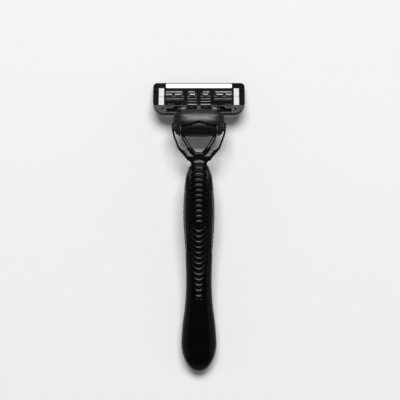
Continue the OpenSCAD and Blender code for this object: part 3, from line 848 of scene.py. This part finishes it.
link = head_body("connector_body")
combine(link, [inside_disc("front", FRONT_APEX, FRONT_RADIUS)], "INTERSECT")
combine(link, [
    inside_disc("seam", SEAM_APEX + SEAM_GAP, SEAM_RADIUS + SEAM_GAP),
    *on_both_sides(head_block, (PRONG_X[0] - 0.3, PRONG_X[1] + 0.3), (-6, 1), (0, 15.8)),
    *on_both_sides(lambda x: cross_rod(x, 0, PIVOT_HEIGHT, 1.8), (ARM_X[1], 10)),
    *on_both_sides(head_block, (ARM_X[1], 10), (-4, 2), (PIVOT_HEIGHT - 4, PIVOT_HEIGHT)),
], "DIFFERENCE")
combine(link, [
    *on_both_sides(head_block, TENON_X, TENON_Y, (DECK + 0.2, 14.9)),
    *on_both_sides(lambda x: cross_rod(x, 0, PIVOT_HEIGHT, 1.7), ARM_X),
    *on_both_sides(head_block, ARM_X, (-2.2, 0), (PIVOT_HEIGHT - 0.9, PIVOT_HEIGHT + 1.7)),
], "UNION")
combine(link, [cross_rod((-8.3, 8.3), 0, PIVOT_HEIGHT, 0.75)], "DIFFERENCE")
round_edges(link, 0.1, 2, False, 40)
stand_for(in_head(link), "connector")


# ---- Neck and yoke ----

def sweep(name, path, power=2.4, count=28):
    """Solid along a path of (x, y, low, high, half width), its section square to the path in plan."""
    rings = []
    for i, (x, y, low, high, half_w) in enumerate(path):
        before, after = path[max(i - 1, 0)], path[min(i + 1, len(path) - 1)]
        run = Vector((after[0] - before[0], after[1] - before[1])).normalized()
        ring = []
        for turn in steps(0, 360, count)[:-1]:
            across, z = section_point(half_w, low, high, power, turn)
            ring.append((x + across * run.y, y - across * run.x, z))
        rings.append(ring)
    return loft(name, rings)


def smooth_path(rows, count):
    """Rows of values, drawn through smoothly."""
    table = [(i, *row) for i, row in enumerate(rows)]
    return [
        tuple(smooth_value(table, t, column) for column in range(1, len(rows[0]) + 1))
        for t in steps(0, len(rows) - 1, count)
    ]


def mirrored(path):
    return [(-row[0], *row[1:]) for row in path]


def fuse(name, pieces, grain, passes):
    """Overlapping solids run together, with soft inner corners, as moulded in one shot."""
    shell = bmesh.new()
    for piece in pieces:
        shell.from_mesh(piece.data)
        mesh = piece.data
        bpy.data.objects.remove(piece)
        bpy.data.meshes.remove(mesh)
    mesh = bpy.data.meshes.new(name)
    shell.to_mesh(mesh)
    shell.free()
    fused = bpy.data.objects.new(name, mesh)
    scene.collection.objects.link(fused)
    remesh = fused.modifiers.new("even", "REMESH")
    remesh.mode = "VOXEL"
    remesh.voxel_size = grain * MM
    apply_modifier(fused, remesh)
    smooth = fused.modifiers.new("soft", "SMOOTH")
    smooth.factor = 0.5
    smooth.iterations = passes
    apply_modifier(fused, smooth)
    shade(fused, 70)
    return fused


RING_CENTRE = (-3, -7.7)
RING_MIDDLE_R = 15.6 - 0.45


def ring_row(turn, low, high, half_w):
    a = math.radians(turn)
    return (
        RING_CENTRE[0] + RING_MIDDLE_R * math.cos(a),
        RING_CENTRE[1] + RING_MIDDLE_R * math.sin(a),
        low, high, half_w,
    )


ring_path = [ring_row(turn, 12.9, 15.1, 0.47) for turn in steps(6, -27, 26)]
ring_path += smooth_path([
    ring_path[-1],
    (10.0, -16.2, 12.9, 15.1, 0.47),
    (9.2, -17.9, 12.9, 15.1, 0.52),
    (8.0, -19.3, 12.9, 15.1, 0.6),
    (6.6, -20.5, 12.85, 15.0, 0.8),
    (5.4, -21.7, 12.8, 15.0, 1.0),
    (4.3, -23.2, 12.7, 15.0, 1.0),
], 48)[1:]
arm_path = smooth_path([
    (7.2, -10.9, 11.35, 13.55, 0.8),
    (7.1, -13.0, 11.7, 13.95, 0.88),
    (5.6, -15.6, 12.4, 14.6, 0.88),
    (4.3, -17.7, 12.7, 15.0, 1.0),
    (2.9, -19.7, 12.7, 15.0, 1.3),
    (1.6, -21.4, 12.6, 15.0, 1.5),
], 40)
neck_path = smooth_path([
    (0, -19.9, 12.8, 15.0, 2.4),
    (0, -21.2, 12.7, 15.0, 3.9),
    (0, -22.5, 12.6, 15.0, 4.3),
    (0, -23.6, 12.5, 15.1, 4.0),
    (0, -24.4, 12.45, 15.35, 3.8),
    (0, -25.2, 12.4, 15.7, 3.85),
    (0, -25.95, 12.4, 16.2, 4.1),
], 40)
# Half of the web's outline: window end, arm, side opening, ring, neck
web_half = [
    (1.7, -19.5), (2.7, -18.8), (3.6, -17.5), (5.3, -17.3), (5.9, -18.2), (6.8, -18.8), (7.9, -18.3),
    (8.8, -17.2), (9.6, -17.2), (8.8, -18.9), (7.6, -20.2), (6.1, -21.4), (5.0, -22.7), (4.3, -24.2),
]
web = prism("web", [(-x, y) for x, y in reversed(web_half)] + web_half, 12, 16)
combine(web, [side_prism("web_side", [
    (-16.9, 12.9), (-24.4, 12.6), (-24.4, 15.0), (-21.6, 15.0), (-18.0, 14.1), (-16.9, 13.9),
], 20)], "INTERSECT")
limbs = [sweep("limb", path) for path in (ring_path, arm_path)]
limbs += [sweep("limb", mirrored(path)) for path in (ring_path, arm_path)]
limbs += on_both_sides(lambda x: cross_rod(x, TRUNNION_Y, TRUNNION_Z, TRUNNION_R), (10.2, 12.1))
shoulders = fuse("shoulders", [web, sweep("neck", neck_path)], grain=0.16, passes=24)
fork = fuse("fork", [shoulders, *limbs], grain=0.13, passes=7)
TONGUE_R = 2
TONGUE_L = 12
TONGUE_BACK = 1.3
tongue = sloping_bore("tongue", TONGUE_R, TONGUE_L)
tongue.data.transform(tongue.matrix_basis @ Matrix.Translation((0, -TONGUE_BACK * MM, 0)))
tongue.matrix_basis = Matrix.Identity(4)
tongue.data.transform(head_matrix.inverted())
combine(fork, [tongue], "UNION", 60)
stand_for(in_head(fork), "neck_yoke")

# ---- Pieces that keep their CAD shape, with rounded edges ----

# Width and segments of the rounding
CAD_ROUNDING = {
    "cartridge_frame": (0.08, 2),
    "lubricating_strip": (0.25, 4),
    "guard_fins": (0.05, 2),
    "clip_left": (0.1, 2),
    "clip_right": (0.1, 2),
    "plunger": (0.1, 2),
}
for number in range(1, 6):
    CAD_ROUNDING[f"blade_support_{number}"] = (0.04, 2)
for node, rounding in CAD_ROUNDING.items():
    round_edges(frame["nodes"][node], *rounding)


# ---- Painted highlights: bright steel strips on the two supports nearest the strip, standing for their lit bands seen through the windows ----

CARTRIDGE_TILT = math.radians(38)
# The pivot in the cartridge's own measures: up from the guard edge, and back from the shaving face
PIVOT_IN_CARTRIDGE = (0.4, 3.5)
HIGHLIGHT_STRIP_HEIGHTS = (1.9, 2.05)
HIGHLIGHT_STRIP_ALONG = {5: (12.75, 13.4), 4: (11.1, 11.85)}
HIGHLIGHT_STRIP_SPANS = {
    5: [(-15.5, -7.7), (-4.9, -1.9), (1.9, 4.9), (7.7, 15.5)],
    4: [(-15.5, -12.6), (-11.2, -8.2), (-4.3, -1.9), (1.9, 4.3), (8.2, 11.2), (12.6, 15.5)],
}

at_pivot = Matrix.Translation((0, pivot_y * MM, pivot_z * MM)) @ Matrix.Rotation(-CARTRIDGE_TILT, 4, "X")
along, above = [c * MM for c in PIVOT_IN_CARTRIDGE]
cartridge_matrix = at_pivot @ Matrix.Translation((0, -along, -above))
for number, spans in HIGHLIGHT_STRIP_SPANS.items():
    name = f"support_highlight_strip_{number}"
    highlight_strip, *others = [block(name, span, HIGHLIGHT_STRIP_ALONG[number], HIGHLIGHT_STRIP_HEIGHTS) for span in spans]
    combine(highlight_strip, others, "UNION")
    highlight_strip.data.transform(cartridge_matrix)
    round_edges(highlight_strip, 0.05, 2)
    # Bright blade steel on these strips is a painted highlight for the two lit supports
    wear(highlight_strip, "blade_steel")
    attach(highlight_strip, "cartridge")
